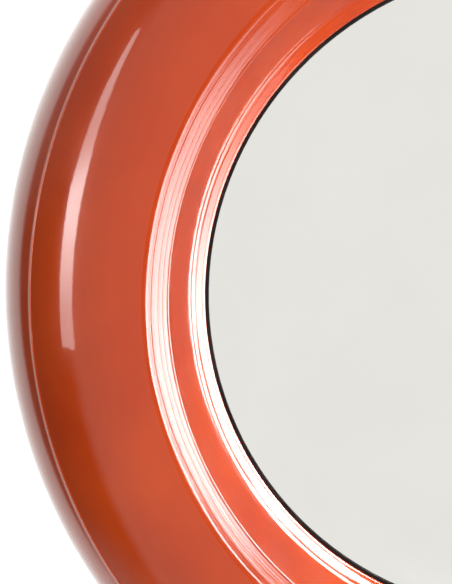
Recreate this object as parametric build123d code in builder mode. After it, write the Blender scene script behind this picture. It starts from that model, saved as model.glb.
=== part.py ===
from build123d import *
import math
import os

# Traffic convex mirror in a wide moulded ring frame, on a pole clamp with a pan and a tilt joint.
# Millimetres, +Z up. The origin lies on the pole's axis, at half the clamp's height. The mirror
# faces -Y. "Reach" is a distance in front of the pole's axis, so y = -reach.

os.makedirs("parts", exist_ok=True)

# ---------------------------------------------------------------- driving dimensions
pole_radius = 38.15
liner_thickness = 2.0
band_thickness = 6.0
clamp_height = 100.0
clamp_gap = 6.0
flange_span = 76.0
flange_corner = 8.0
clamp_bolt_x = 62.0
clamp_bolt_z = 30.0
clamp_travel = 8.0

pan_reach = 72.0
fork_thickness = 8.0
fork_inner = 28.3
fork_tip_radius = 18.0
fork_root_width = 52.0
fork_root_reach = 38.0
gusset_reach = 57.0
gusset_height = 11.0
gusset_thickness = 6.0

barrel_radius = 17.0
barrel_half = 26.5
bush_radius = 8.5
bush_length = 12.0
bush_flange_radius = 12.0
bush_flange = 1.5
neck_width = 30.0
neck_height = 34.0
neck_corner = 8.0

tilt_reach = 124.0
lug_half = 25.7
lug_radius = 14.0
lock_height = 38.0
tilt_range = 15.0
slot_margin = 0.5

ear_inner = 26.0
ear_thickness = 4.0
ear_radius = 18.0
ear_slot_radius = 10.5
plate_size = 130.0
plate_corner = 12.0
plate_thickness = 4.0
plate_reach = 158.0
stud_spacing = 90.0

equator_reach = 200.0
outer_radius = 300.0
crest_radius = 224.0
crest_height = 75.0
crease_radius = 217.0
shoulder_radius = 204.6
shoulder_height = 68.5
cove_radius = 192.3
cove_height = 28.0
lip_edge_radius = 186.6
lip_edge_height = 24.0
lip_radius = 185.1
lip_height = 22.0
rear_radius = 285.0
rear_height = 24.0
rim_inner_radius = 262.0
shell_wall = 3.5
seat_radius = 203.5
seat_height = 19.5
seat_thickness = 3.0
bead_circle = 279.2
bead_size = 0.5

mirror_radius = 197.5
dome_radius = 183.0
sphere_radius = 1500.0
mirror_thickness = 3.0
mirror_face = 18.0
gasket_radius = 200.5
gasket_edge_radius = 183.3
gasket_lip = 1.5
backing_thickness = 1.5
backing_dome_radius = 181.5
backing_sphere = 1650.0

ring_face = 12.0
ring_thickness = 2.0
ring_outer = 219.5
ring_inner = 179.5
ring_turnup = 7.0
ring_screw_circle = 212.5
ring_screw_count = 8
boss_radius = 5.5
boss_top = 68.5
insert_radius = 3.0
insert_length = 8.0

seal_thickness = 1.5
seal_inner = 264.0
seal_outer = 280.0
shell_rim_radius = 282.0
shell_land_radius = 232.0
pad_radius = 98.0
pad_height = 42.0
shell_screw_circle = 272.0
shell_screw_count = 12
rib_count = 8
rib_width = 12.0
rib_rise = 3.0
drain_circle = 246.0
drain_radius = 5.0
drain_spread = 16.0

# Fasteners: shank radius, width across flats, head height, nut height, washer radius, washer thickness
m12 = {"shank": 6.0, "flats": 18.0, "head": 7.5, "nut": 10.8, "washer": 12.0, "washer_height": 2.5}
m10 = {"shank": 5.0, "flats": 16.0, "head": 6.4, "nut": 8.4, "washer": 10.0, "washer_height": 2.0}
m8 = {"shank": 4.0, "flats": 13.0, "head": 5.3, "nut": 6.8, "washer": 8.0, "washer_height": 1.6}
free_gap = 0.3
close_gap = 0.15
running_gap = 0.1

toward_front = (0, -1, 0)
toward_rear = (0, 1, 0)
toward_left = (-1, 0, 0)
toward_right = (1, 0, 0)
upward = (0, 0, 1)
downward = (0, 0, -1)


# ---------------------------------------------------------------- shared shapes
def seat(x, reach, z, direction):
    return Plane(origin=(x, -reach, z), z_dir=direction)


def at(radius, height):
    # A point of a round profile: height is measured forward from the ring's widest circle.
    return (radius, -(equator_reach + height))


def radial_plane(degrees):
    turn = math.radians(degrees)
    across = (math.cos(turn), 0, math.sin(turn))
    return Plane(origin=(0, 0, 0), x_dir=across, z_dir=(-math.sin(turn), 0, math.cos(turn)))


def on_circle(radius, count, index, first=0.0):
    turn = math.radians(first + 360.0 * index / count)
    return radius * math.cos(turn), radius * math.sin(turn)


def hex_body(plane, flats, height):
    with BuildPart() as body:
        with BuildSketch(plane):
            RegularPolygon(flats / 2, 6, major_radius=False)
        extrude(amount=height)
        with BuildSketch(plane):
            Circle(0.62 * flats)
        extrude(amount=height, taper=14, mode=Mode.INTERSECT)
    return body.part


def hex_bolt(plane, size, length):
    with BuildPart() as bolt:
        add(hex_body(plane, size["flats"], size["head"]))
        with BuildSketch(plane):
            Circle(size["shank"])
        extrude(amount=-length)
        rims = bolt.edges().filter_by(GeomType.CIRCLE)
        tip = rims.sort_by_distance(plane.offset(-length).origin)[0]
        chamfer(tip, 0.15 * size["shank"])
    return bolt.part


def hex_nut(plane, size):
    with BuildPart() as nut:
        add(hex_body(plane, size["flats"], size["nut"]))
        with BuildSketch(plane):
            Circle(size["shank"] + close_gap)
        extrude(amount=size["nut"], mode=Mode.SUBTRACT)
    return nut.part


def washer(plane, size):
    with BuildPart() as disc:
        with BuildSketch(plane):
            Circle(size["washer"])
            Circle(size["shank"] + free_gap, mode=Mode.SUBTRACT)
        extrude(amount=size["washer_height"])
    return disc.part


def pan_screw(plane, head_radius, head_height, shank_radius, length):
    with BuildPart() as screw:
        with BuildSketch(plane):
            Circle(head_radius)
        extrude(amount=head_height)
        rims = screw.edges().filter_by(GeomType.CIRCLE)
        crown = rims.sort_by_distance(plane.offset(head_height).origin)[0]
        fillet(crown, 0.6 * head_height)
        with BuildSketch(plane.offset(head_height)):
            Rectangle(head_radius, 0.22 * head_radius)
            Rectangle(0.22 * head_radius, head_radius)
        extrude(amount=-0.4 * head_height, mode=Mode.SUBTRACT)
        with BuildSketch(plane):
            Circle(shank_radius)
        extrude(amount=-length)
    return screw.part


def finish(piece, name):
    piece.part.label = name
    export_step(piece.part, "parts/" + name + ".step")


# ---------------------------------------------------------------- pole clamp: front half, fixed
liner_outer = pole_radius + liner_thickness
band_outer = liner_outer + band_thickness
flange_centre = clamp_gap / 2 + band_thickness / 2
flange_face = clamp_gap / 2 + band_thickness
fork_outer = fork_inner + fork_thickness


def half_band(side):
    # One pressed clamp half around the pole: side -1 is the front half, +1 the rear half.
    with BuildPart() as band:
        with BuildSketch(Plane.XY.offset(-clamp_height / 2)):
            Circle(band_outer)
            with Locations((0, side * flange_centre)):
                Rectangle(2 * flange_span, band_thickness)
            Circle(liner_outer, mode=Mode.SUBTRACT)
            with Locations((0, -side * (band_outer - clamp_gap / 2))):
                Rectangle(2.2 * flange_span, 2 * band_outer, mode=Mode.SUBTRACT)
        extrude(amount=clamp_height)
        tips = band.edges().filter_by(Axis.Y).group_by(Axis.X)
        fillet(tips[0] + tips[-1], flange_corner)
        with Locations(Plane.XZ):
            with GridLocations(2 * clamp_bolt_x, 2 * clamp_bolt_z, 2, 2):
                Hole(m10["shank"] + free_gap)
    return band.part


def half_liner(side):
    with BuildPart() as liner:
        with BuildSketch(Plane.XY.offset(-clamp_height / 2)):
            Circle(liner_outer)
            Circle(pole_radius, mode=Mode.SUBTRACT)
            with Locations((0, -side * (band_outer - clamp_gap / 2))):
                Rectangle(2.2 * band_outer, 2 * band_outer, mode=Mode.SUBTRACT)
        extrude(amount=clamp_height)
    return liner.part


with BuildPart() as clamp_saddle:
    add(half_band(-1))
    for side in (-1, 1):
        with BuildSketch(Plane.XY.offset(side * (fork_inner + fork_thickness / 2))):
            with Locations((0, -pan_reach)):
                Circle(fork_tip_radius)
            with Locations((0, -fork_root_reach - 1)):
                Rectangle(fork_root_width, 2)
            make_hull()
            Circle(liner_outer, mode=Mode.SUBTRACT)
            with Locations((0, -pan_reach)):
                Circle(m12["shank"] + close_gap, mode=Mode.SUBTRACT)
        extrude(amount=fork_thickness / 2, both=True)
        with BuildSketch(Plane.YZ):
            with BuildLine():
                Polyline(
                    (-band_outer + 2, side * (fork_outer - 1)),
                    (-gusset_reach, side * (fork_outer - 1)),
                    (-gusset_reach, side * (fork_outer + 1)),
                    (-band_outer + 2, side * (fork_outer + gusset_height)),
                    close=True,
                )
            make_face()
        extrude(amount=gusset_thickness / 2, both=True)
finish(clamp_saddle, "clamp_saddle")

with BuildPart() as saddle_liner:
    add(half_liner(-1))
finish(saddle_liner, "saddle_liner")

# The bolts pass both halves and are long enough for the halves to open over a pole.
clamp_bolt_length = 2 * flange_face + 2 * m10["washer_height"] + m10["nut"] + clamp_travel + 4
with BuildPart() as clamp_bolts:
    for x in (-clamp_bolt_x, clamp_bolt_x):
        for z in (-clamp_bolt_z, clamp_bolt_z):
            head_reach = flange_face + m10["washer_height"]
            add(hex_bolt(seat(x, head_reach, z, toward_front), m10, clamp_bolt_length))
finish(clamp_bolts, "clamp_bolts")

with BuildPart() as clamp_head_washers:
    for x in (-clamp_bolt_x, clamp_bolt_x):
        for z in (-clamp_bolt_z, clamp_bolt_z):
            add(washer(seat(x, flange_face, z, toward_front), m10))
finish(clamp_head_washers, "clamp_head_washers")

pan_head = fork_outer + m12["washer_height"]
with BuildPart() as pan_bolt:
    add(hex_bolt(seat(0, pan_reach, pan_head, upward), m12, 2 * pan_head + m12["nut"] + 4))
finish(pan_bolt, "pan_bolt")

with BuildPart() as pan_nut:
    add(hex_nut(seat(0, pan_reach, -pan_head, downward), m12))
finish(pan_nut, "pan_nut")

with BuildPart() as pan_washers:
    add(washer(seat(0, pan_reach, fork_outer, upward), m12))
    add(washer(seat(0, pan_reach, -fork_outer, downward), m12))
finish(pan_washers, "pan_washers")

# ---------------------------------------------------------------- pole clamp: rear half, opens
with BuildPart() as clamp_strap:
    add(half_band(1))
finish(clamp_strap, "clamp_strap")

with BuildPart() as strap_liner:
    add(half_liner(1))
finish(strap_liner, "strap_liner")

with BuildPart() as clamp_nut_washers:
    for x in (-clamp_bolt_x, clamp_bolt_x):
        for z in (-clamp_bolt_z, clamp_bolt_z):
            add(washer(seat(x, -flange_face, z, toward_rear), m10))
finish(clamp_nut_washers, "clamp_nut_washers")

with BuildPart() as clamp_nuts:
    for x in (-clamp_bolt_x, clamp_bolt_x):
        for z in (-clamp_bolt_z, clamp_bolt_z):
            add(hex_nut(seat(x, -flange_face - m10["washer_height"], z, toward_rear), m10))
finish(clamp_nuts, "clamp_nuts")

# ---------------------------------------------------------------- swivel arm: pans on the clamp
with BuildPart() as swivel_arm:
    with BuildSketch(Plane.XY.offset(-barrel_half)):
        with Locations((0, -pan_reach)):
            Circle(barrel_radius)
    extrude(amount=2 * barrel_half)
    with BuildSketch(Plane.XZ.offset(pan_reach)):
        RectangleRounded(neck_width, neck_height, neck_corner)
    extrude(amount=tilt_reach - pan_reach)
    with BuildSketch(Plane.YZ.offset(-lug_half)):
        with Locations((-tilt_reach, lock_height / 2)):
            SlotCenterToCenter(lock_height, 2 * lug_radius, rotation=90)
    extrude(amount=2 * lug_half)
    lug_ends = swivel_arm.faces().filter_by(Axis.X)
    chamfer(lug_ends.sort_by(Axis.X)[0].edges() + lug_ends.sort_by(Axis.X)[-1].edges(), 1.2)
    with BuildSketch(Plane.XY.offset(-barrel_half)):
        with Locations((0, -pan_reach)):
            Circle(bush_radius)
    extrude(amount=2 * barrel_half, mode=Mode.SUBTRACT)
    with BuildSketch(Plane.YZ.offset(-lug_half)):
        with Locations((-tilt_reach, 0)):
            Circle(m12["shank"] + close_gap)
        with Locations((-tilt_reach, lock_height)):
            Circle(m8["shank"] + close_gap)
    extrude(amount=2 * lug_half, mode=Mode.SUBTRACT)
finish(swivel_arm, "swivel_arm")

with BuildPart() as pan_bushes:
    for direction in (upward, downward):
        end = seat(0, pan_reach, barrel_half * direction[2], direction)
        with BuildSketch(end):
            Circle(bush_flange_radius)
        extrude(amount=bush_flange)
        with BuildSketch(end):
            Circle(bush_radius)
        extrude(amount=-bush_length)
        with BuildSketch(end.offset(bush_flange)):
            Circle(m12["shank"] + running_gap)
        extrude(amount=-bush_flange - bush_length, mode=Mode.SUBTRACT)
finish(pan_bushes, "pan_bushes")

ear_outer = ear_inner + ear_thickness
cross_face = ear_outer + free_gap
tilt_head = cross_face + m12["washer_height"]
lock_head = cross_face + m8["washer_height"]

with BuildPart() as tilt_bolt:
    add(hex_bolt(seat(-tilt_head, tilt_reach, 0, toward_left), m12, 2 * tilt_head + m12["nut"] + 3))
finish(tilt_bolt, "tilt_bolt")

with BuildPart() as tilt_nut:
    add(hex_nut(seat(tilt_head, tilt_reach, 0, toward_right), m12))
finish(tilt_nut, "tilt_nut")

with BuildPart() as tilt_washers:
    add(washer(seat(-cross_face, tilt_reach, 0, toward_left), m12))
    add(washer(seat(cross_face, tilt_reach, 0, toward_right), m12))
finish(tilt_washers, "tilt_washers")

with BuildPart() as lock_bolt:
    start = seat(-lock_head, tilt_reach, lock_height, toward_left)
    add(hex_bolt(start, m8, 2 * lock_head + m8["nut"] + 3))
finish(lock_bolt, "lock_bolt")

with BuildPart() as lock_nut:
    add(hex_nut(seat(lock_head, tilt_reach, lock_height, toward_right), m8))
finish(lock_nut, "lock_nut")

with BuildPart() as lock_washers:
    add(washer(seat(-cross_face, tilt_reach, lock_height, toward_left), m8))
    add(washer(seat(cross_face, tilt_reach, lock_height, toward_right), m8))
finish(lock_washers, "lock_washers")

# ---------------------------------------------------------------- head: hinge bracket, tilts
slot_turn = tilt_range + slot_margin
with BuildPart() as hinge_bracket:
    with BuildSketch(Plane.XZ.offset(plate_reach - plate_thickness)):
        RectangleRounded(plate_size, plate_size, plate_corner)
        with GridLocations(stud_spacing, stud_spacing, 2, 2):
            Circle(m8["shank"] + 0.5, mode=Mode.SUBTRACT)
    extrude(amount=plate_thickness)
    for side in (-1, 1):
        with BuildSketch(Plane.YZ.offset(side * (ear_inner + ear_thickness / 2))):
            with Locations((-tilt_reach, 0)):
                Circle(ear_radius)
                with PolarLocations(lock_height, 2, 90 - slot_turn, 2 * slot_turn, endpoint=True):
                    Circle(ear_slot_radius)
            with Locations((-plate_reach + plate_thickness, lug_radius / 2)):
                Rectangle(1, 0.75 * plate_size)
            make_hull()
            with Locations((-tilt_reach, 0)):
                Circle(m12["shank"] + running_gap, mode=Mode.SUBTRACT)
            with BuildLine(mode=Mode.PRIVATE) as slot_path:
                CenterArc((-tilt_reach, 0), lock_height, 90 - slot_turn, arc_size=2 * slot_turn)
            SlotArc(slot_path.wire(), 2 * (m8["shank"] + free_gap), mode=Mode.SUBTRACT)
        extrude(amount=ear_thickness / 2, both=True)
finish(hinge_bracket, "hinge_bracket")

pad_inner = plate_reach + shell_wall
with BuildPart() as stud_plate:
    with BuildSketch(Plane.XZ.offset(pad_inner)):
        RectangleRounded(plate_size, plate_size, plate_corner)
    extrude(amount=plate_thickness)
    stud_length = shell_wall + plate_thickness + m8["washer_height"] + m8["nut"] + 3
    with BuildSketch(Plane.XZ.offset(pad_inner - stud_length)):
        with GridLocations(stud_spacing, stud_spacing, 2, 2):
            Circle(m8["shank"])
    extrude(amount=stud_length)
finish(stud_plate, "stud_plate")

stud_offset = stud_spacing / 2
bracket_back = plate_reach - plate_thickness
with BuildPart() as bracket_washers:
    for x in (-stud_offset, stud_offset):
        for z in (-stud_offset, stud_offset):
            add(washer(seat(x, bracket_back, z, toward_rear), m8))
finish(bracket_washers, "bracket_washers")

with BuildPart() as bracket_nuts:
    for x in (-stud_offset, stud_offset):
        for z in (-stud_offset, stud_offset):
            add(hex_nut(seat(x, bracket_back - m8["washer_height"], z, toward_rear), m8))
finish(bracket_nuts, "bracket_nuts")

# ---------------------------------------------------------------- head: moulded ring frame
belly = outer_radius - crest_radius
tuck = outer_radius - rear_radius
with BuildPart() as frame_shell:
    with BuildSketch(Plane.XY) as ring_section:
        with BuildLine():
            EllipticalCenterArc(at(crest_radius, 0), belly, crest_height, 0, arc_size=-90)
            Polyline(
                at(crest_radius, crest_height),
                at(crease_radius, crest_height),
                at(shoulder_radius, shoulder_height),
                at(shoulder_radius - 0.9, shoulder_height - 0.3),
                at(cove_radius, cove_height),
                at(lip_edge_radius, lip_edge_height),
                at(lip_radius, lip_height),
                at(lip_radius, seat_height),
                at(seat_radius, seat_height),
                at(seat_radius, seat_height + seat_thickness),
                at(cove_radius + 1.9, seat_height + seat_thickness),
                at(shoulder_radius + 2.9, shoulder_height - 2.4),
                at(crease_radius + 0.9, crest_height - shell_wall),
                at(crest_radius, crest_height - shell_wall),
            )
            EllipticalCenterArc(
                at(crest_radius, 0), belly - shell_wall, crest_height - shell_wall, -90, arc_size=90
            )
            EllipticalCenterArc(
                at(rear_radius, 0), tuck - shell_wall, rear_height - shell_wall, 0, arc_size=90
            )
            Polyline(
                at(rear_radius, -rear_height + shell_wall),
                at(rim_inner_radius, -rear_height + shell_wall),
                at(rim_inner_radius, -rear_height),
                at(rear_radius, -rear_height),
            )
            EllipticalCenterArc(at(rear_radius, 0), tuck, rear_height, 90, arc_size=-90)
        make_face()
        rounded = (
            (at(crease_radius, crest_height), 1.6),
            (at(cove_radius, cove_height), 4.0),
            (at(lip_edge_radius, lip_edge_height), 1.2),
            (at(lip_radius, lip_height), 0.8),
        )
        for corner, radius in rounded:
            fillet(ring_section.vertices().sort_by_distance((*corner, 0))[0], radius)
        bead_height = crest_height * math.sqrt(1 - ((bead_circle - crest_radius) / belly) ** 2)
        with Locations(at(bead_circle, bead_height)):
            Circle(bead_size)
    revolve(axis=Axis.Y)
    with BuildSketch(Plane.XZ.offset(equator_reach + ring_face)):
        with PolarLocations(ring_screw_circle, ring_screw_count):
            Circle(boss_radius)
    extrude(amount=boss_top - ring_face)
    for index in range(ring_screw_count):
        with BuildSketch(radial_plane(360 * index / ring_screw_count)):
            with BuildLine():
                Polyline(
                    at(cove_radius + 0.6, seat_height + 1),
                    at(ring_screw_circle, seat_height + 1),
                    at(ring_screw_circle, shoulder_height - 4),
                    at(shoulder_radius + 0.4, shoulder_height - 6),
                    close=True,
                )
            make_face()
        extrude(amount=1.5, both=True)
    with BuildSketch(Plane.XZ.offset(equator_reach + ring_face)):
        with PolarLocations(ring_screw_circle, ring_screw_count):
            Circle(insert_radius)
    extrude(amount=insert_length + 1, mode=Mode.SUBTRACT)
    with BuildSketch(Plane.XZ.offset(equator_reach - rear_height)):
        with PolarLocations(shell_screw_circle, shell_screw_count, 15):
            Circle(2.0 + close_gap)
    extrude(amount=shell_wall, mode=Mode.SUBTRACT)
finish(frame_shell, "frame_shell")

with BuildPart() as ring_inserts:
    with BuildSketch(Plane.XZ.offset(equator_reach + ring_face)):
        with PolarLocations(ring_screw_circle, ring_screw_count):
            Circle(insert_radius)
            Circle(2.0 + close_gap, mode=Mode.SUBTRACT)
    extrude(amount=insert_length)
finish(ring_inserts, "ring_inserts")


# ---------------------------------------------------------------- head: mirror and what holds it
def bulge(radius, edge, sphere):
    # Height of a spherical face above the circle where its flat flange begins.
    return math.sqrt(sphere**2 - radius**2) - math.sqrt(sphere**2 - edge**2)


with BuildPart() as mirror_lens:
    with BuildSketch(Plane.XY):
        with BuildLine():
            back = mirror_face - mirror_thickness
            middle = dome_radius / 2
            rise = bulge(0, dome_radius, sphere_radius)
            middle_rise = bulge(middle, dome_radius, sphere_radius)
            ThreePointArc(
                at(0, mirror_face + rise),
                at(middle, mirror_face + middle_rise),
                at(dome_radius, mirror_face),
            )
            Polyline(
                at(dome_radius, mirror_face),
                at(mirror_radius, mirror_face),
                at(mirror_radius, back),
                at(dome_radius, back),
            )
            ThreePointArc(
                at(dome_radius, back), at(middle, back + middle_rise), at(0, back + rise)
            )
            Line(at(0, back + rise), at(0, mirror_face + rise))
        make_face()
    revolve(axis=Axis.Y)
finish(mirror_lens, "mirror_lens")

backing_face = mirror_face - mirror_thickness
backing_back = backing_face - backing_thickness
with BuildPart() as backing_dish:
    with BuildSketch(Plane.XY):
        with BuildLine():
            middle = backing_dome_radius / 2
            rise = bulge(0, backing_dome_radius, backing_sphere)
            middle_rise = bulge(middle, backing_dome_radius, backing_sphere)
            ThreePointArc(
                at(0, backing_face + rise),
                at(middle, backing_face + middle_rise),
                at(backing_dome_radius, backing_face),
            )
            Polyline(
                at(backing_dome_radius, backing_face),
                at(mirror_radius, backing_face),
                at(mirror_radius, backing_back),
                at(backing_dome_radius, backing_back),
            )
            ThreePointArc(
                at(backing_dome_radius, backing_back),
                at(middle, backing_back + middle_rise),
                at(0, backing_back + rise),
            )
            Line(at(0, backing_back + rise), at(0, backing_face + rise))
        make_face()
    revolve(axis=Axis.Y)
finish(backing_dish, "backing_dish")

with BuildPart() as mirror_gasket:
    with BuildSketch(Plane.XY):
        with BuildLine():
            Polyline(
                at(gasket_edge_radius, mirror_face),
                at(gasket_edge_radius, mirror_face + gasket_lip),
                at(gasket_radius, mirror_face + gasket_lip),
                at(gasket_radius, backing_back - gasket_lip),
                at(lip_radius + 0.5, backing_back - gasket_lip),
                at(lip_radius + 0.5, backing_back),
                at(mirror_radius, backing_back),
                at(mirror_radius, mirror_face),
                close=True,
            )
        make_face()
    revolve(axis=Axis.Y)
finish(mirror_gasket, "mirror_gasket")

ring_back = ring_face - ring_thickness
with BuildPart() as retaining_ring:
    with BuildSketch(Plane.XY):
        with BuildLine():
            Polyline(
                at(ring_inner, ring_face),
                at(ring_outer, ring_face),
                at(ring_outer, ring_back),
                at(ring_inner + ring_thickness, ring_back),
                at(ring_inner + ring_thickness, ring_face - ring_turnup),
                at(ring_inner, ring_face - ring_turnup),
                close=True,
            )
        make_face()
    revolve(axis=Axis.Y)
    with BuildSketch(Plane.XZ.offset(equator_reach + ring_back)):
        with PolarLocations(ring_screw_circle, ring_screw_count):
            Circle(2.4)
    extrude(amount=ring_thickness, mode=Mode.SUBTRACT)
finish(retaining_ring, "retaining_ring")

with BuildPart() as ring_screws:
    for index in range(ring_screw_count):
        x, z = on_circle(ring_screw_circle, ring_screw_count, index)
        add(pan_screw(seat(x, equator_reach + ring_back, z, toward_rear), 4.0, 2.6, 2.0, 9.0))
finish(ring_screws, "ring_screws")

# ---------------------------------------------------------------- head: rear shell
seal_back = -rear_height - seal_thickness
shell_back = seal_back - shell_wall
pad_back = -pad_height
cone_slope = (shell_back - pad_back) / (shell_land_radius - pad_radius)


def cone_height(radius):
    return pad_back + (radius - pad_radius) * cone_slope


with BuildPart() as rear_shell:
    with BuildSketch(Plane.XY) as shell_section:
        with BuildLine():
            Polyline(
                at(0, pad_back),
                at(pad_radius, pad_back),
                at(shell_land_radius, shell_back),
                at(shell_rim_radius, shell_back),
                at(shell_rim_radius, seal_back),
                at(shell_land_radius, seal_back),
                at(pad_radius, pad_back + shell_wall),
                at(0, pad_back + shell_wall),
                close=True,
            )
        make_face()
        for corner in (at(pad_radius, pad_back), at(shell_land_radius, shell_back)):
            fillet(shell_section.vertices().sort_by_distance((*corner, 0))[0], 20)
        for corner in (at(pad_radius, pad_back + shell_wall), at(shell_land_radius, seal_back)):
            fillet(shell_section.vertices().sort_by_distance((*corner, 0))[0], 20)
    revolve(axis=Axis.Y)
    rib_start = pad_radius + 8
    rib_end = shell_land_radius - 6
    for index in range(rib_count):
        with BuildSketch(radial_plane(360 * (index + 0.5) / rib_count)):
            with BuildLine():
                Polyline(
                    at(rib_start, cone_height(rib_start) + 1.5),
                    at(rib_start + 5, cone_height(rib_start + 5) - rib_rise),
                    at(rib_end - 5, cone_height(rib_end - 5) - rib_rise),
                    at(rib_end, cone_height(rib_end) + 1.5),
                    close=True,
                )
            make_face()
        extrude(amount=rib_width / 2, both=True)
    with BuildSketch(Plane.XZ.offset(equator_reach + pad_back)):
        with GridLocations(stud_spacing, stud_spacing, 2, 2):
            Circle(m8["shank"] + 0.5)
    extrude(amount=shell_wall, mode=Mode.SUBTRACT)
    with BuildSketch(Plane.XZ.offset(equator_reach + shell_back)):
        with PolarLocations(shell_screw_circle, shell_screw_count, 15):
            Circle(2.4)
        with PolarLocations(drain_circle, 2, 270 - drain_spread, 2 * drain_spread, endpoint=True):
            Circle(drain_radius)
    extrude(amount=shell_wall, mode=Mode.SUBTRACT)
finish(rear_shell, "rear_shell")

with BuildPart() as rim_seal:
    with BuildSketch(Plane.XZ.offset(equator_reach + seal_back)):
        Circle(seal_outer)
        Circle(seal_inner, mode=Mode.SUBTRACT)
        with PolarLocations(shell_screw_circle, shell_screw_count, 15):
            Circle(2.4, mode=Mode.SUBTRACT)
    extrude(amount=seal_thickness)
finish(rim_seal, "rim_seal")

with BuildPart() as shell_screws:
    for index in range(shell_screw_count):
        x, z = on_circle(shell_screw_circle, shell_screw_count, index, 15)
        add(pan_screw(seat(x, equator_reach + shell_back, z, toward_rear), 4.5, 2.8, 2.0, 12.0))
finish(shell_screws, "shell_screws")

with BuildPart() as drain_plugs:
    for side in (-1, 1):
        turn = math.radians(270 + side * drain_spread)
        x, z = drain_circle * math.cos(turn), drain_circle * math.sin(turn)
        face = seat(x, equator_reach + shell_back, z, toward_rear)
        with BuildSketch(face):
            Circle(drain_radius + 3)
        extrude(amount=2)
        with BuildSketch(face):
            Circle(drain_radius)
        extrude(amount=-shell_wall)
        with BuildSketch(face.offset(-shell_wall)):
            Circle(drain_radius + 1)
        extrude(amount=-2)
finish(drain_plugs, "drain_plugs")
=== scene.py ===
import bpy
import math
from mathutils import Matrix, Vector


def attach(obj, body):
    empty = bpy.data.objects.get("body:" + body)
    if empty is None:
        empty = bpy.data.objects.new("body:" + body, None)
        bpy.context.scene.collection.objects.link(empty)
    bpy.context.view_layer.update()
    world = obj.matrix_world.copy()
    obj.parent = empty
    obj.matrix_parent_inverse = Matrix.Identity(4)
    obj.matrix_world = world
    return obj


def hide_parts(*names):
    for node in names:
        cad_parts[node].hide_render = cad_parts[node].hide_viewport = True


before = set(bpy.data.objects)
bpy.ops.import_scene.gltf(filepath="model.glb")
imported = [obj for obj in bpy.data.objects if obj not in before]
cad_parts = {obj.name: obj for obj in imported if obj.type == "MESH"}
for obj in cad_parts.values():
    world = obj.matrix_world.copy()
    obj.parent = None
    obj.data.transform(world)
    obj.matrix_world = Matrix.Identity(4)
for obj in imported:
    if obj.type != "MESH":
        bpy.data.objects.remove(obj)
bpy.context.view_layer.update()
print("frame loaded")

mm = 0.001
equator = -0.200  # y of the ring's widest circle; the mirror faces -Y


def deselectAll():
    if bpy.context.object and bpy.context.object.mode != 'OBJECT':
        bpy.ops.object.mode_set(mode='OBJECT')
    bpy.ops.object.select_all(action='DESELECT')


def only(obj):
    deselectAll()
    obj.select_set(True)
    bpy.context.view_layer.objects.active = obj


def selectWhere(test):
    # picks points of the active mesh in edit mode by their place
    bpy.ops.object.mode_set(mode='OBJECT')
    mesh = bpy.context.object.data
    for group in (mesh.vertices, mesh.edges, mesh.polygons):
        group.foreach_set("select", [False] * len(group))
    for vert in mesh.vertices:
        vert.select = test(vert.co)
    bpy.ops.object.mode_set(mode='EDIT')
    bpy.ops.mesh.select_mode(type='VERT')


def arc(centre, radiusX, radiusY, start, end, steps):
    # points of an elliptical arc in the section's plane, angles in degrees
    points = []
    for step in range(steps + 1):
        turn = math.radians(start + (end - start) * step / steps)
        points.append((centre[0] + radiusX * math.cos(turn), centre[1] + radiusY * math.sin(turn)))
    return points


def rounded(corners, steps=6):
    # a line of (radius, height, fillet) corners with each corner turned into a small curve
    points = []
    for index, (x, y, fillet) in enumerate(corners):
        here = Vector((x, y))
        if fillet == 0 or index in (0, len(corners) - 1):
            points.append((x, y))
            continue
        before = (Vector(corners[index - 1][:2]) - here).normalized() * fillet
        after = (Vector(corners[index + 1][:2]) - here).normalized() * fillet
        for step in range(steps + 1):
            t = step / steps
            spot = here + before * (1 - t) ** 2 + after * t ** 2
            points.append((spot.x, spot.y))
    return points


def drawSection(name, points, closed=True):
    # starts from one vertex and extrudes it along the section, (radius, height) in mm
    deselectAll()
    bpy.ops.mesh.primitive_plane_add(size=mm)
    piece = bpy.context.object
    piece.name = name
    bpy.ops.object.mode_set(mode='EDIT')
    bpy.ops.mesh.merge(type='CENTER')
    here = Vector((0, 0, 0))
    for index, (radius, height) in enumerate(points):
        there = Vector((radius * mm, equator - height * mm, 0))
        if index == 0:
            bpy.ops.transform.translate(value=there - here)
        else:
            bpy.ops.mesh.extrude_region_move(TRANSFORM_OT_translate={"value": there - here})
        here = there
    bpy.ops.mesh.select_all(action='SELECT')
    if closed:
        bpy.ops.object.mode_set(mode='OBJECT')
        count = len(piece.data.vertices)
        for vert in piece.data.vertices:
            vert.select = vert.index in (0, count - 1)
        for edge in piece.data.edges:
            edge.select = False
        bpy.ops.object.mode_set(mode='EDIT')
        bpy.ops.mesh.select_mode(type='VERT')
        bpy.ops.mesh.edge_face_add()
        bpy.ops.mesh.select_all(action='SELECT')
    return piece


def spinSection(piece, steps, sharp):
    # turns the section round the ring's axis and closes its seam
    bpy.ops.mesh.select_all(action='SELECT')
    bpy.ops.mesh.spin(steps=steps, angle=2 * math.pi, center=(0, equator, 0), axis=(0, 1, 0))
    bpy.ops.mesh.select_all(action='SELECT')
    bpy.ops.mesh.remove_doubles(threshold=0.00001)
    bpy.ops.mesh.normals_make_consistent(inside=False)
    bpy.ops.object.mode_set(mode='OBJECT')
    only(piece)
    bpy.ops.object.transform_apply(location=True, rotation=True, scale=True)
    bpy.ops.object.shade_smooth_by_angle(angle=math.radians(sharp))


def newMaterial(name):
    material = bpy.data.materials.new(name)
    material.use_nodes = True
    return material, material.node_tree.nodes, material.node_tree.links


def node(nodes, kind, **settings):
    made = nodes.new(kind)
    for key, value in settings.items():
        setattr(made, key, value)
    return made


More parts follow.
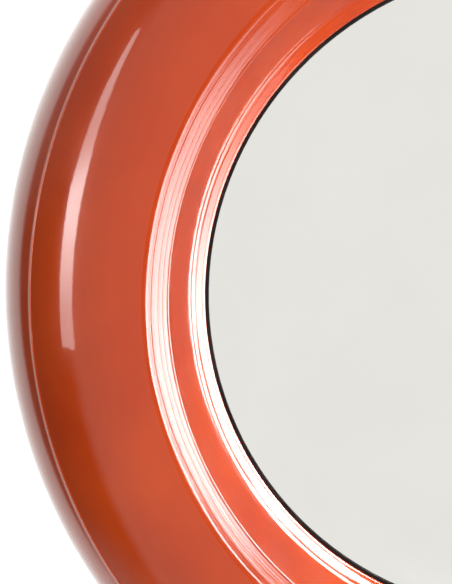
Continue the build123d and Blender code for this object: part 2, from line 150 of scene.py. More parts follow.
def noise(nodes, links, source, scale, detail=2.0, rough=0.5, dimensions='3D'):
    made = node(nodes, "ShaderNodeTexNoise", noise_dimensions=dimensions)
    made.inputs["Scale"].default_value = scale
    made.inputs["Detail"].default_value = detail
    made.inputs["Roughness"].default_value = rough
    links.new(source, made.inputs["W" if dimensions == '1D' else "Vector"])
    return made.outputs[0]


def ranged(nodes, links, source, low, high, toLow, toHigh):
    made = node(nodes, "ShaderNodeMapRange", interpolation_type='SMOOTHSTEP')
    made.inputs["From Min"].default_value = low
    made.inputs["From Max"].default_value = high
    made.inputs["To Min"].default_value = toLow
    made.inputs["To Max"].default_value = toHigh
    links.new(source, made.inputs["Value"])
    return made.outputs["Result"]


def calc(nodes, links, operation, first, second):
    made = node(nodes, "ShaderNodeMath", operation=operation)
    for socket, value in zip(made.inputs, (first, second)):
        if isinstance(value, (int, float)):
            socket.default_value = value
        else:
            links.new(value, socket)
    return made.outputs[0]


def bump(nodes, links, height, distance, below=None):
    made = node(nodes, "ShaderNodeBump")
    made.inputs["Strength"].default_value = 1.0
    made.inputs["Distance"].default_value = distance
    links.new(height, made.inputs["Height"])
    if below:
        links.new(below, made.inputs["Normal"])
    return made.outputs["Normal"]


def blendColour(nodes, links, factor, first, second):
    made = node(nodes, "ShaderNodeMix", data_type='RGBA')
    links.new(factor, made.inputs[0])
    for socket, value in ((made.inputs[6], first), (made.inputs[7], second)):
        if isinstance(value, tuple):
            socket.default_value = (*value, 1)
        else:
            links.new(value, socket)
    return made.outputs[2]


def paint(piece, material):
    piece.data.materials.clear()
    piece.data.materials.append(material)


orangeLook = {
    "base": (0.61, 0.064, 0.0055), "deep": (0.52, 0.047, 0.0035), "roughness": 0.20, "coatRoughness": 0.035,
    "peelScale": 620, "peelDepth": 0.000009, "waveScale": 26, "waveDepth": 0.00012,
    "lineScale": 420, "lineDepth": 0.00010, "lineOuter": 0.222, "lineFade": 0.006, "lineRest": 0.12,
    "driftScale": 9, "drift": 0.004, "cloudScale": 12, "smearScale": 55, "smear": (0.8, 1.3), "coat": 0.9,
    "coatIndex": 1.5, "specular": 0.15,
}


def glossyOrange():
    look = orangeLook
    material, nodes, links = newMaterial("glossyOrange")
    shader = nodes["Principled BSDF"]
    place = node(nodes, "ShaderNodeTexCoord").outputs["Object"]
    flat = node(nodes, "ShaderNodeVectorMath", operation='MULTIPLY')
    flat.inputs[1].default_value = (1, 0, 1)
    links.new(place, flat.inputs[0])
    length = node(nodes, "ShaderNodeVectorMath", operation='LENGTH')
    links.new(flat.outputs[0], length.inputs[0])
    radius = length.outputs["Value"]

    drift = noise(nodes, links, place, look["driftScale"], 2)
    driftedRadius = calc(nodes, links, 'ADD', radius, calc(nodes, links, 'MULTIPLY', drift, look["drift"]))
    lines = noise(nodes, links, driftedRadius, look["lineScale"], 3, 0.65, '1D')
    lineEnd = look["lineOuter"]
    innerSide = ranged(nodes, links, radius, lineEnd - look["lineFade"], lineEnd, 1, look["lineRest"])
    lineHeight = calc(nodes, links, 'MULTIPLY', lines, innerSide)
    wave = noise(nodes, links, place, look["waveScale"], 1)
    peel = noise(nodes, links, place, look["peelScale"], 2)
    normal = bump(nodes, links, wave, look["waveDepth"])
    normal = bump(nodes, links, lineHeight, look["lineDepth"], below=normal)
    normal = bump(nodes, links, peel, look["peelDepth"], below=normal)
    links.new(normal, shader.inputs["Normal"])
    links.new(normal, shader.inputs["Coat Normal"])

    cloud = ranged(nodes, links, noise(nodes, links, place, look["cloudScale"], 3), 0.35, 0.65, 0, 1)
    links.new(blendColour(nodes, links, cloud, look["base"], look["deep"]), shader.inputs["Base Color"])
    smear = ranged(nodes, links, noise(nodes, links, place, look["smearScale"], 4), 0.3, 0.75, *look["smear"])
    links.new(calc(nodes, links, 'MULTIPLY', smear, look["roughness"]), shader.inputs["Roughness"])
    shader.inputs["Coat Weight"].default_value = look["coat"]
    shader.inputs["Coat Roughness"].default_value = look["coatRoughness"]
    shader.inputs["Coat IOR"].default_value = look["coatIndex"]
    shader.inputs["Specular IOR Level"].default_value = look["specular"]
    return material


mirrorLook = {
    "pale": (0.955, 0.95, 0.93), "dark": (0.935, 0.93, 0.91), "rough": (0.015, 0.045), "hazeScale": 14,
    "rippleScale": 7, "ripple": 0.00012,
}


def mirrorFinish():
    look = mirrorLook
    material, nodes, links = newMaterial("mirrorAcrylic")
    shader = nodes["Principled BSDF"]
    place = node(nodes, "ShaderNodeTexCoord").outputs["Object"]
    shader.inputs["Metallic"].default_value = 1.0
    haze = noise(nodes, links, place, look["hazeScale"], 4, 0.6)
    links.new(ranged(nodes, links, haze, 0.35, 0.75, *look["rough"]), shader.inputs["Roughness"])
    tint = blendColour(nodes, links, ranged(nodes, links, haze, 0.3, 0.7, 0, 1), look["pale"], look["dark"])
    links.new(tint, shader.inputs["Base Color"])
    ripple = noise(nodes, links, place, look["rippleScale"], 1)
    links.new(bump(nodes, links, ripple, look["ripple"]), shader.inputs["Normal"])
    return material


rubberLook = {
    "base": (0.010, 0.010, 0.011), "dust": (0.022, 0.021, 0.020), "rough": (0.55, 0.75), "grainScale": 900,
    "grainDepth": 0.00006, "dustScale": 40, "specular": 0.2,
}


def blackRubber():
    look = rubberLook
    material, nodes, links = newMaterial("blackRubber")
    shader = nodes["Principled BSDF"]
    place = node(nodes, "ShaderNodeTexCoord").outputs["Object"]
    grain = noise(nodes, links, place, look["grainScale"], 3, 0.6)
    dust = ranged(nodes, links, noise(nodes, links, place, look["dustScale"], 4), 0.45, 0.75, 0, 1)
    links.new(blendColour(nodes, links, dust, look["base"], look["dust"]), shader.inputs["Base Color"])
    links.new(ranged(nodes, links, grain, 0.3, 0.7, *look["rough"]), shader.inputs["Roughness"])
    shader.inputs["Specular IOR Level"].default_value = look["specular"]
    links.new(bump(nodes, links, grain, look["grainDepth"]), shader.inputs["Normal"])
    return material


backLook = {
    "base": (0.50, 0.052, 0.006), "deep": (0.40, 0.036, 0.004), "dust": (0.42, 0.16, 0.09), "dusty": 0.35,
    "cloudScale": 10, "dustScale": 24, "grain": 1500, "grainDepth": 0.00005, "flowScale": 18, "flow": 0.0002,
    "rough": (0.38, 0.52), "roughScale": 60,
}


def satinOrange():
    look = backLook
    material, nodes, links = newMaterial("satinOrange")
    shader = nodes["Principled BSDF"]
    place = node(nodes, "ShaderNodeTexCoord").outputs["Object"]
    cloud = ranged(nodes, links, noise(nodes, links, place, look["cloudScale"], 4), 0.35, 0.65, 0, 1)
    colour = blendColour(nodes, links, cloud, look["base"], look["deep"])
    patches = noise(nodes, links, place, look["dustScale"], 5, 0.7)
    dusty = ranged(nodes, links, patches, 0.5, 0.85, 0, look["dusty"])
    links.new(blendColour(nodes, links, dusty, colour, look["dust"]), shader.inputs["Base Color"])
    cells = node(nodes, "ShaderNodeTexVoronoi", feature='SMOOTH_F1')
    cells.inputs["Scale"].default_value = look["grain"]
    links.new(place, cells.inputs["Vector"])
    flow = bump(nodes, links, noise(nodes, links, place, look["flowScale"], 1), look["flow"])
    normal = bump(nodes, links, cells.outputs["Distance"], look["grainDepth"], below=flow)
    links.new(normal, shader.inputs["Normal"])
    rub = noise(nodes, links, place, look["roughScale"], 3)
    links.new(ranged(nodes, links, rub, 0.3, 0.7, *look["rough"]), shader.inputs["Roughness"])
    return material


galvanisedLook = {
    "pale": (0.60, 0.62, 0.64), "dark": (0.36, 0.38, 0.41), "bloom": (0.58, 0.59, 0.58), "flake": 130,
    "rough": (0.28, 0.48), "swirlScale": 160, "swirl": 0.006, "featherScale": 480, "featherDepth": 0.00003,
    "flakeShare": 0.6, "featherShare": 0.5, "bloomScale": 17, "bloomMost": 0.5, "rippleScale": 55,
    "ripple": 0.00025, "metallic": 0.85,
}


def galvanised():
    look = galvanisedLook
    material, nodes, links = newMaterial("galvanisedSteel")
    shader = nodes["Principled BSDF"]
    place = node(nodes, "ShaderNodeTexCoord").outputs["Object"]
    warp = node(nodes, "ShaderNodeVectorMath", operation='MULTIPLY_ADD')
    swirl = node(nodes, "ShaderNodeTexNoise")
    swirl.inputs["Scale"].default_value = look["swirlScale"]
    links.new(place, swirl.inputs["Vector"])
    links.new(swirl.outputs[1], warp.inputs[0])
    warp.inputs[1].default_value = (look["swirl"], look["swirl"], look["swirl"])
    links.new(place, warp.inputs[2])
    flakes = node(nodes, "ShaderNodeTexVoronoi")
    flakes.inputs["Scale"].default_value = look["flake"]
    links.new(warp.outputs[0], flakes.inputs["Vector"])
    parts = node(nodes, "ShaderNodeSeparateColor")
    links.new(flakes.outputs["Color"], parts.inputs[0])
    feather = noise(nodes, links, place, look["featherScale"], 4, 0.65)
    tone = calc(nodes, links, 'ADD', calc(nodes, links, 'MULTIPLY', parts.outputs[0], look["flakeShare"]),
                calc(nodes, links, 'MULTIPLY', feather, look["featherShare"]))
    colour = blendColour(nodes, links, ranged(nodes, links, tone, 0.1, 0.9, 0, 1), look["dark"], look["pale"])
    patches = noise(nodes, links, place, look["bloomScale"], 5, 0.7)
    bloom = ranged(nodes, links, patches, 0.52, 0.78, 0, look["bloomMost"])
    links.new(blendColour(nodes, links, bloom, colour, look["bloom"]), shader.inputs["Base Color"])
    shader.inputs["Metallic"].default_value = look["metallic"]
    links.new(ranged(nodes, links, parts.outputs[1], 0, 1, *look["rough"]), shader.inputs["Roughness"])
    ripple = bump(nodes, links, noise(nodes, links, place, look["rippleScale"], 3), look["ripple"])
    links.new(bump(nodes, links, feather, look["featherDepth"], below=ripple), shader.inputs["Normal"])
    return material


zincLook = {
    "pale": (0.66, 0.67, 0.68), "dull": (0.52, 0.53, 0.50), "rough": (0.22, 0.38), "cloudScale": 90,
    "grainScale": 1400, "grainDepth": 0.00002, "threadDepth": 1.1,
}


def zincPlate():
    look = zincLook
    material, nodes, links = newMaterial("zincPlate")
    shader = nodes["Principled BSDF"]
    place = node(nodes, "ShaderNodeTexCoord").outputs["Object"]
    cloud = noise(nodes, links, place, look["cloudScale"], 4, 0.6)
    dull = ranged(nodes, links, cloud, 0.3, 0.7, 0, 1)
    links.new(blendColour(nodes, links, dull, look["pale"], look["dull"]), shader.inputs["Base Color"])
    shader.inputs["Metallic"].default_value = 1.0
    links.new(ranged(nodes, links, cloud, 0.3, 0.7, *look["rough"]), shader.inputs["Roughness"])
    links.new(bump(nodes, links, noise(nodes, links, place, look["grainScale"], 3), look["grainDepth"]),
              shader.inputs["Normal"])
    return material


def zincThread(axis, low, high, pitch):
    # the same plating with a screw thread between two places along one axis
    material = zincPlate()
    material.name = "zincThread" + "XYZ"[axis] + str(round(high / mm))
    nodes, links = material.node_tree.nodes, material.node_tree.links
    parts = node(nodes, "ShaderNodeSeparateXYZ")
    links.new(node(nodes, "ShaderNodeTexCoord").outputs["Object"], parts.inputs[0])
    along = parts.outputs[axis]
    ridge = calc(nodes, links, 'PINGPONG', calc(nodes, links, 'MULTIPLY', along, 1 / pitch), 0.5)
    started = ranged(nodes, links, along, low, low + pitch, 0, 1)
    ended = ranged(nodes, links, along, high - pitch, high, 1, 0)
    height = calc(nodes, links, 'MULTIPLY', ridge, calc(nodes, links, 'MULTIPLY', started, ended))
    thread = bump(nodes, links, height, pitch * zincLook["threadDepth"])
    links.new(thread, nodes["Principled BSDF"].inputs["Normal"])
    return material


castLook = {
    "pale": (0.40, 0.41, 0.42), "dark": (0.30, 0.31, 0.32), "rough": (0.42, 0.60), "pitScale": 900,
    "cloudScale": 30, "lumps": 0.0004, "pitDepth": 0.00012, "metallic": 0.7,
}


def castAluminium():
    look = castLook
    material, nodes, links = newMaterial("castAluminium")
    shader = nodes["Principled BSDF"]
    place = node(nodes, "ShaderNodeTexCoord").outputs["Object"]
    pits = noise(nodes, links, place, look["pitScale"], 4, 0.65)
    cloud = noise(nodes, links, place, look["cloudScale"], 4)
    dark = ranged(nodes, links, cloud, 0.3, 0.7, 0, 1)
    links.new(blendColour(nodes, links, dark, look["pale"], look["dark"]), shader.inputs["Base Color"])
    shader.inputs["Metallic"].default_value = look["metallic"]
    links.new(ranged(nodes, links, pits, 0.3, 0.7, *look["rough"]), shader.inputs["Roughness"])
    lumps = bump(nodes, links, cloud, look["lumps"])
    links.new(bump(nodes, links, pits, look["pitDepth"], below=lumps), shader.inputs["Normal"])
    return material


nylonLook = {
    "base": (0.60, 0.58, 0.50), "pale": (0.70, 0.68, 0.60), "rough": (0.35, 0.5), "cloudScale": 120,
    "grainScale": 1200, "grainDepth": 0.00002, "glow": 0.15, "glowDepth": 0.001,
}


def nylon():
    look = nylonLook
    material, nodes, links = newMaterial("nylonBush")
    shader = nodes["Principled BSDF"]
    place = node(nodes, "ShaderNodeTexCoord").outputs["Object"]
    cloud = noise(nodes, links, place, look["cloudScale"], 3)
    links.new(blendColour(nodes, links, cloud, look["base"], look["pale"]), shader.inputs["Base Color"])
    shader.inputs["Subsurface Weight"].default_value = look["glow"]
    shader.inputs["Subsurface Scale"].default_value = look["glowDepth"]
    links.new(ranged(nodes, links, cloud, 0.3, 0.7, *look["rough"]), shader.inputs["Roughness"])
    links.new(bump(nodes, links, noise(nodes, links, place, look["grainScale"], 2), look["grainDepth"]),
              shader.inputs["Normal"])
    return material


brassLook = {
    "bright": (0.72, 0.50, 0.20), "tarnished": (0.45, 0.30, 0.12), "rough": (0.25, 0.45),
    "tarnishScale": 260, "grainScale": 1800, "grainDepth": 0.00003,
}


def brass():
    look = brassLook
    material, nodes, links = newMaterial("insertBrass")
    shader = nodes["Principled BSDF"]
    place = node(nodes, "ShaderNodeTexCoord").outputs["Object"]
    tarnish = noise(nodes, links, place, look["tarnishScale"], 4, 0.6)
    stain = ranged(nodes, links, tarnish, 0.35, 0.7, 0, 1)
    links.new(blendColour(nodes, links, stain, look["bright"], look["tarnished"]), shader.inputs["Base Color"])
    shader.inputs["Metallic"].default_value = 1.0
    links.new(ranged(nodes, links, tarnish, 0.3, 0.7, *look["rough"]), shader.inputs["Roughness"])
    links.new(bump(nodes, links, noise(nodes, links, place, look["grainScale"], 2), look["grainDepth"]),
              shader.inputs["Normal"])
    return material


orange = glossyOrange()
backOrange = satinOrange()
mirrorMaterial = mirrorFinish()
rubber = blackRubber()
zincCoat = galvanised()
zinc = zincPlate()
castMetal = castAluminium()
bushNylon = nylon()
insertBrass = brass()
print("materials made")

ringShape = {
    "crest": (224, 75), "outer": 300, "rear": (285, 24), "wall": 3.5, "rimInner": 262,
    "bead": 279.2, "beadSize": 0.38, "beadGap": 0.7, "steps": 288,
    # (radius, height, fillet) from the crest down the well, round the lip and back up inside
    "well": (
        (224, 75, 0), (217, 75, 2.2), (204.6, 68.5, 0.5), (203.6, 68.1, 0.4), (192.3, 28, 4.0),
        (186.6, 24, 1.5), (185.1, 22, 0.9), (185.1, 19.5, 0), (203.5, 19.5, 0), (203.5, 22.5, 0),
        (194.2, 22.5, 0), (207.5, 66.1, 0), (217.9, 71.5, 0), (224, 71.5, 0),
    ),
}


def ringSection():
    shape = ringShape
    crestX, crestY = shape["crest"]
    rearX, rearY = shape["rear"]
    wall = shape["wall"]
    belly = shape["outer"] - crestX
    tuck = shape["outer"] - rearX
    beadTurn = math.degrees(math.acos((shape["bead"] - crestX) / belly))
    points = arc((crestX, 0), belly, crestY, 0, beadTurn - shape["beadGap"], 22)
    lean = math.radians(beadTurn)
    beadY = crestY * math.sin(lean)
    out = Vector((math.cos(lean) / belly, math.sin(lean) / crestY)).normalized()
    along = Vector((-out.y, out.x))
    for turn in range(150, 20, -20):  # the parting line's fine half-round bead
        a = math.radians(180 - turn)
        spot = Vector((shape["bead"], beadY)) + shape["beadSize"] * (out * math.sin(a) - along * math.cos(a))
        points.append((spot.x, spot.y))
    points += arc((crestX, 0), belly, crestY, beadTurn + shape["beadGap"], 90, 34)
    points += rounded(shape["well"])[1:]
    points += arc((crestX, 0), belly - wall, crestY - wall, 90, 0, 20)[1:]
    points += arc((rearX, 0), tuck - wall, rearY - wall, 0, -90, 8)[1:]
    points += [(shape["rimInner"], -rearY + wall), (shape["rimInner"], -rearY)]
    points += arc((rearX, 0), tuck, rearY, -90, 0, 14)[:-1]
    return points


ringFrame = drawSection("ringFrame", ringSection())
spinSection(ringFrame, ringShape["steps"], 40)
paint(ringFrame, orange)
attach(ringFrame, "head")
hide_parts("frame_shell")
print("ring frame made")

mirrorShape = {"dome": 183, "rim": 197.5, "sphere": 1500, "face": 18, "thick": 3, "rings": 26, "steps": 192}


def mirrorSection():
    shape = mirrorShape
    edge = math.sqrt(shape["sphere"] ** 2 - shape["dome"] ** 2)
    front = []
    for ring in range(shape["rings"] + 1):
        radius = shape["dome"] * ring / shape["rings"]
        front.append((radius, shape["face"] + math.sqrt(shape["sphere"] ** 2 - radius ** 2) - edge))
    back = [(radius, height - shape["thick"]) for radius, height in reversed(front)]
    rim = [(shape["rim"], shape["face"]), (shape["rim"], shape["face"] - shape["thick"])]
    return front + rim + back


mirrorDisc = drawSection("mirrorDisc", mirrorSection(), closed=False)
spinSection(mirrorDisc, mirrorShape["steps"], 40)
paint(mirrorDisc, mirrorMaterial)
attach(mirrorDisc, "head")
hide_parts("mirror_lens")
print("mirror made")

# axis, start, end and pitch of each screw thread, in metres
threads = {
    "clamp_bolts": (1, 0.010, 0.060, 0.0015), "pan_bolt": (2, -0.080, -0.040, 0.00175),
    "tilt_bolt": (0, 0.033, 0.070, 0.00175), "lock_bolt": (0, 0.032, 0.070, 0.00125),
    "stud_plate": (1, -0.153, -0.120, 0.00125),
}
finishes = {
    "rear_shell": backOrange, "swivel_arm": castMetal, "pan_bushes": bushNylon, "ring_inserts": insertBrass,
    "mirror_gasket": rubber, "rim_seal": rubber, "drain_plugs": rubber, "saddle_liner": rubber,
    "strap_liner": rubber, "clamp_saddle": zincCoat, "clamp_strap": zincCoat, "hinge_bracket": zincCoat,
    "backing_dish": zincCoat, "retaining_ring": zincCoat,
}
for name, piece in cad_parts.items():
    if name in threads:
        paint(piece, zincThread(*threads[name]))
    else:
        paint(piece, finishes.get(name, zinc))
print("finishes put on the frame's own pieces")

rearShape = {
    "pad": 98, "padHeight": -42, "land": 232, "rim": 282, "back": -29, "seal": -25.5, "wall": 3.5,
    "steps": 192,
    "padRing": (93.4, 94.2, 96.2, 97.0), "landRing": (258.6, 259.4, 262.6, 263.4), "ringRise": 0.7,
    "ribs": 8, "ribInner": 106, "ribOuter": 226, "ribHalf": 6.0, "ribRise": 3.0,
    "screwCircle": 272, "screws": 12, "firstScrew": 15, "seatRadius": 6.2, "seatRise": 0.45, "seatEdge": 0.3,
}


def rearSection():
    shape = rearShape
    pad, land, back, seal, top = shape["pad"], shape["land"], shape["back"], shape["seal"], shape["padHeight"]

    def raisedRing(radii, height):
        start, risen, falling, end = radii
        peak = height - shape["ringRise"]
        return [(start, height, 0.3), (risen, peak, 0.4), (falling, peak, 0.4), (end, height, 0.3)]

    outside = [(0, top, 0)] + raisedRing(shape["padRing"], top) + [(pad + 2, top + 0.2, 6), (land, back, 9)]
    outside += raisedRing(shape["landRing"], back) + [(shape["rim"], back, 1.4)]
    inner = top + shape["wall"]
    inside = [(shape["rim"], seal, 0), (land, seal, 9), (pad, inner, 6), (0, inner, 0)]
    return rounded(outside + inside)


def rearRib(degrees):
    # a long rounded ridge lying on the shell's cone
    shape = rearShape
    half = shape["ribHalf"] * mm
    deselectAll()
    bpy.ops.mesh.primitive_uv_sphere_add(segments=24, ring_count=11, radius=half)
    rib = bpy.context.object
    stretch = (shape["ribOuter"] - shape["ribInner"]) * mm / 2 - half
    for end in (1, -1):
        selectWhere(lambda spot: spot.z * end > 0)
        bpy.ops.transform.translate(value=(0, 0, stretch * end))
    bpy.ops.object.mode_set(mode='OBJECT')
    rise = (shape["back"] - shape["padHeight"]) / (shape["land"] - shape["pad"])
    lean, turn = math.atan(rise), math.radians(degrees)
    middle = (shape["ribInner"] + shape["ribOuter"]) / 2
    height = shape["padHeight"] + (middle - shape["pad"]) * rise
    side, up = math.cos(turn), math.sin(turn)
    outward = Vector((side * math.cos(lean), -math.sin(lean), up * math.cos(lean)))
    normal = Vector((side * math.sin(lean), math.cos(lean), up * math.sin(lean)))
    across = normal.cross(outward)
    rib.rotation_euler = Matrix((across, normal, outward)).transposed().to_euler()
    rib.scale = (1, shape["ribRise"] / shape["ribHalf"], 1)
    rib.location = (middle * mm * side, equator - height * mm, middle * mm * up)
    only(rib)
    bpy.ops.object.transform_apply(location=True, rotation=True, scale=True)
    return rib


def screwSeat(degrees):
    # a low round boss under each screw head
    shape = rearShape
    turn = math.radians(degrees)
    deselectAll()
    spot = (shape["screwCircle"] * mm * math.cos(turn), equator - (shape["back"] + 0.5) * mm,
            shape["screwCircle"] * mm * math.sin(turn))
    bpy.ops.mesh.primitive_cylinder_add(vertices=32, radius=shape["seatRadius"] * mm,
                                        depth=(2 * shape["seatRise"] + 1) * mm, location=spot,
                                        rotation=(math.pi / 2, 0, 0))
    seat = bpy.context.object
    bpy.ops.object.transform_apply(location=True, rotation=True, scale=True)
    bevel = seat.modifiers.new("edge", 'BEVEL')
    bevel.width, bevel.segments = shape["seatEdge"] * mm, 2
    bpy.ops.object.modifier_apply(modifier="edge")
    return seat


rearShell = drawSection("rearShell", rearSection(), closed=False)
spinSection(rearShell, rearShape["steps"], 30)
ribCount, seatCount = rearShape["ribs"], rearShape["screws"]
raised = [rearRib(360 * (index + 0.5) / ribCount) for index in range(ribCount)]
raised += [screwSeat(rearShape["firstScrew"] + 360 * index / seatCount) for index in range(seatCount)]
deselectAll()
for piece in raised + [rearShell]:
    piece.select_set(True)
bpy.context.view_layer.objects.active = rearShell
bpy.ops.object.join()
bpy.ops.object.shade_smooth_by_angle(angle=math.radians(35))
paint(rearShell, backOrange)
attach(rearShell, "head")
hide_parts("rear_shell")
print("rear shell made")

armShape = {
    "pan": -72, "tilt": -124, "barrel": 17, "barrelHalf": 26.5, "bush": 8.5,
    "neckWidth": 30, "neckHeight": 34, "neckEdge": 7, "coreWidth": 14, "coreHeight": 10, "coreGap": 8,
    "lugHalf": 25.7, "lugRadius": 14, "lock": 38, "tiltBore": 6.15, "lockBore": 4.15, "through": 90,
    "voxel": 1.1, "soften": 10,
}


def cylinderAlong(axis, radius, depth, spot, vertices=48):
    # a round bar lying along one axis, in mm
    turn = {"X": (0, math.pi / 2, 0), "Z": (0, 0, 0)}[axis]
    deselectAll()
    bpy.ops.mesh.primitive_cylinder_add(vertices=vertices, radius=radius * mm, depth=depth * mm,
                                        location=[value * mm for value in spot], rotation=turn)
    bpy.ops.object.transform_apply(location=True, rotation=True, scale=True)
    return bpy.context.object


def block(size, spot):
    deselectAll()
    bpy.ops.mesh.primitive_cube_add(size=1, location=[value * mm for value in spot])
    made = bpy.context.object
    made.scale = [value * mm for value in size]
    bpy.ops.object.transform_apply(location=True, rotation=True, scale=True)
    return made


def combine(target, tool, operation):
    only(target)
    change = target.modifiers.new("combine", 'BOOLEAN')
    change.operation, change.object, change.solver = operation, tool, 'EXACT'
    bpy.ops.object.modifier_apply(modifier="combine")
    bpy.data.objects.remove(tool)


def makeArm():
    shape = armShape
    pan, tilt, lock = shape["pan"], shape["tilt"], shape["lock"]
    reach, middle, through = pan - tilt, (pan + tilt) / 2, shape["through"]
    arm = cylinderAlong("Z", shape["barrel"], 2 * shape["barrelHalf"], (0, pan, 0), 64)
    arm.name = "swivelArm"
    neck = block((shape["neckWidth"], reach, shape["neckHeight"]), (0, middle, 0))
    bevel = neck.modifiers.new("edge", 'BEVEL')
    bevel.width, bevel.segments = shape["neckEdge"] * mm, 4
    bpy.ops.object.modifier_apply(modifier="edge")
    combine(arm, neck, 'UNION')
    core = block((shape["coreWidth"], reach - shape["coreGap"], shape["coreHeight"]), (0, middle, 0))
    combine(arm, core, 'UNION')
    lugLength, lugRadius = 2 * shape["lugHalf"], shape["lugRadius"]
    for height in (0, lock):
        combine(arm, cylinderAlong("X", lugRadius, lugLength, (0, tilt, height)), 'UNION')
    combine(arm, block((lugLength, 2 * lugRadius, lock), (0, tilt, lock / 2)), 'UNION')
    only(arm)
    cast = arm.modifiers.new("cast", 'REMESH')
    cast.mode, cast.voxel_size = 'VOXEL', shape["voxel"] * mm
    bpy.ops.object.modifier_apply(modifier="cast")
    soften = arm.modifiers.new("soften", 'SMOOTH')
    soften.factor, soften.iterations = 0.5, shape["soften"]
    bpy.ops.object.modifier_apply(modifier="soften")
    combine(arm, cylinderAlong("Z", shape["bush"], through, (0, pan, 0)), 'DIFFERENCE')
    combine(arm, cylinderAlong("X", shape["tiltBore"], through, (0, tilt, 0)), 'DIFFERENCE')
    combine(arm, cylinderAlong("X", shape["lockBore"], through, (0, tilt, lock)), 'DIFFERENCE')
    only(arm)
    bpy.ops.object.shade_smooth_by_angle(angle=math.radians(40))
    return arm


swivelArm = makeArm()
paint(swivelArm, castMetal)
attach(swivelArm, "arm")
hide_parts("swivel_arm")
print("swivel arm made")

floorLook = {
    "height": -0.42, "radius": 4, "fade": (0.20, 0.75), "pale": (0.87, 0.87, 0.86),
    "speck": (0.84, 0.84, 0.83), "speckScale": 300, "roughness": 0.8, "glow": (1, 1, 0.99, 1),
    "glowStrength": 0.45,
}


def makeFloor():
    look = floorLook
    deselectAll()
    bpy.ops.mesh.primitive_circle_add(vertices=96, radius=look["radius"], fill_type='NGON',
                                      location=(0, 0, look["height"]))
    floor = bpy.context.object
    floor.name = "floor"
    material, nodes, links = newMaterial("paleFloor")
    shader = nodes["Principled BSDF"]
    place = node(nodes, "ShaderNodeTexCoord").outputs["Object"]
    away = node(nodes, "ShaderNodeVectorMath", operation='LENGTH')
    links.new(place, away.inputs[0])
    links.new(ranged(nodes, links, away.outputs["Value"], *look["fade"], 1, 0), shader.inputs["Alpha"])
    speck = noise(nodes, links, place, look["speckScale"], 3)
    links.new(blendColour(nodes, links, speck, look["pale"], look["speck"]), shader.inputs["Base Color"])
    shader.inputs["Roughness"].default_value = look["roughness"]
    shader.inputs["Emission Color"].default_value = look["glow"]
    shader.inputs["Emission Strength"].default_value = look["glowStrength"]
    paint(floor, material)


def card(name, centre, target, width, height, low, high, fade, topWidth=1.0, topDim=1.0):
    # a flat light that only reflections see, tapered towards its top and stronger at one end
    deselectAll()
    bpy.ops.mesh.primitive_grid_add(x_subdivisions=2, y_subdivisions=2, size=1)
    made = bpy.context.object
    made.name = name
    made.scale = (width, height, 1)
    made.location = centre
    made.rotation_euler = (Vector(target) - Vector(centre)).to_track_quat('Z', 'Y').to_euler()
    for vert in made.data.vertices:
        if vert.co.y > 0.1:
            vert.co.x *= topWidth
    material, nodes, links = newMaterial(name)
    nodes.remove(nodes["Principled BSDF"])
    glow = node(nodes, "ShaderNodeEmission")
    parts = node(nodes, "ShaderNodeSeparateXYZ")
    links.new(node(nodes, "ShaderNodeTexCoord").outputs["Object"], parts.inputs[0])
    rising = ranged(nodes, links, parts.outputs[1], *fade, low, high)
    falling = ranged(nodes, links, parts.outputs[1], -0.05, 0.16, 1, topDim)
    links.new(calc(nodes, links, 'MULTIPLY', rising, falling), glow.inputs["Strength"])
    both = node(nodes, "ShaderNodeAddShader")
    links.new(glow.outputs[0], both.inputs[0])
    links.new(node(nodes, "ShaderNodeBsdfTransparent").outputs[0], both.inputs[1])
    links.new(both.outputs[0], nodes["Material Output"].inputs["Surface"])
    paint(made, material)
    made.visible_camera = False
    made.visible_shadow = False
    made.visible_diffuse = False
    return made


def areaLight(name, centre, target, size, power):
    data = bpy.data.lights.new(name, 'AREA')
    data.shape = 'RECTANGLE'
    data.size, data.size_y, data.energy = size, size, power
    made = bpy.data.objects.new(name, data)
    bpy.context.scene.collection.objects.link(made)
    made.location = centre
    made.rotation_euler = (Vector(target) - Vector(centre)).to_track_quat('-Z', 'Y').to_euler()
    made.visible_glossy = False


# the room's brightness in degrees round it, 0 in front of the ring (-Y) and left negative
worldLook = {
    "stops": ((-180, 1.05), (-120, 1.10), (-115, 0.08), (-60, 0.06), (-50, 0.83), (12, 0.83), (22, 0.14),
              (75, 0.35), (120, 0.75), (180, 1.05)),
    "tint": (1, 0.995, 0.965), "glance": (1, 1, 0.97, 1), "glanceMost": 0.24,
    "diffuse": (0.23, 0.23, 0.23), "behind": (1.05, 1.05, 1.05),
}


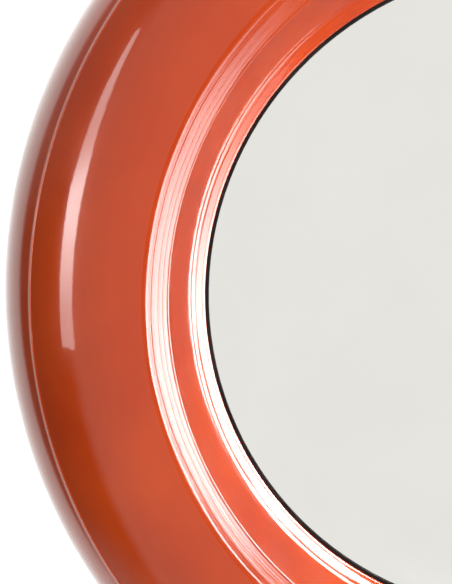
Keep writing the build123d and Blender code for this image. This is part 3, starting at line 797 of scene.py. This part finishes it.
def makeWorld():
    look = worldLook
    world = bpy.data.worlds.new("studio")
    bpy.context.scene.world = world
    world.use_nodes = True
    nodes, links = world.node_tree.nodes, world.node_tree.links
    back = nodes["Background"]
    place = node(nodes, "ShaderNodeTexCoord").outputs["Generated"]
    parts = node(nodes, "ShaderNodeSeparateXYZ")
    links.new(place, parts.inputs[0])
    x, y = parts.outputs[0], parts.outputs[1]
    turn = calc(nodes, links, 'ARCTAN2', x, calc(nodes, links, 'MULTIPLY', y, -1))
    ramp = node(nodes, "ShaderNodeValToRGB")
    links.new(ranged(nodes, links, turn, -math.pi, math.pi, 0, 1), ramp.inputs[0])
    for child in ramp.inputs[0].links:
        child.from_node.interpolation_type = 'LINEAR'
    stops = look["stops"]
    ramp.color_ramp.elements[0].position = 0
    ramp.color_ramp.elements[1].position = 1
    for index, (degrees, value) in enumerate(stops):
        position = (degrees + 180) / 360
        if index == 0:
            stop = ramp.color_ramp.elements[0]
        elif index == len(stops) - 1:
            stop = ramp.color_ramp.elements[-1]
        else:
            stop = ramp.color_ramp.elements.new(position)
        stop.color = (*(value * share for share in look["tint"]), 1)
    glance = node(nodes, "ShaderNodeMix", data_type='RGBA', blend_type='ADD')  # the dark side is paler above
    above = ranged(nodes, links, parts.outputs[2], 0.05, 0.35, 0, look["glanceMost"])
    links.new(calc(nodes, links, 'MULTIPLY', above, ranged(nodes, links, turn, -1.05, -0.9, 1, 0)),
              glance.inputs[0])
    links.new(ramp.outputs[0], glance.inputs[6])
    glance.inputs[7].default_value = look["glance"]
    path = node(nodes, "ShaderNodeLightPath")
    lit = blendColour(nodes, links, path.outputs["Is Diffuse Ray"], glance.outputs[2], look["diffuse"])
    seen = blendColour(nodes, links, path.outputs["Is Camera Ray"], lit, look["behind"])
    links.new(seen, back.inputs["Color"])


ringLeft = (-0.26, -0.26, 0)
makeFloor()
makeWorld()
stripLight = card("stripLight", (-1.27, -0.871, 0.29), ringLeft, 0.28, 1.16, 5.0, 12.0, (-0.42, -0.06),
                  topWidth=0.25, topDim=0.42)
keyCard = card("keyCard", (0.82, -0.61, 0.05), ringLeft, 1.00, 1.3, 2.0, 24.0, (-0.46, 0.05))
polished = bpy.data.collections.new("polished")
bpy.context.scene.collection.children.link(polished)
polished.objects.link(ringFrame)
polished.objects.link(mirrorDisc)
keyCard.light_linking.receiver_collection = polished
painted = bpy.data.collections.new("painted")
bpy.context.scene.collection.children.link(painted)
painted.objects.link(ringFrame)
stripLight.light_linking.receiver_collection = painted
areaLight("frontRight", (0.68, -1.8, 0.5), (-0.1, -0.2, 0), 1.0, 34)
areaLight("backFill", (0.4, 1.8, 1.2), (0, 0, 0), 1.5, 25)

cameraPlace = {"at": (-0.1734, -0.9443, 0.0579), "down": 4.39, "lens": 79.5}
cameraData = bpy.data.cameras.new("camera")
camera = bpy.data.objects.new("camera", cameraData)
bpy.context.scene.collection.objects.link(camera)
camera.location = cameraPlace["at"]
camera.rotation_euler = (math.radians(90 - cameraPlace["down"]), 0, 0)
cameraData.lens = cameraPlace["lens"]
cameraData.sensor_width = 36
bpy.context.scene.camera = camera
bpy.context.scene.view_settings.view_transform = 'Standard'
print("light and camera made")
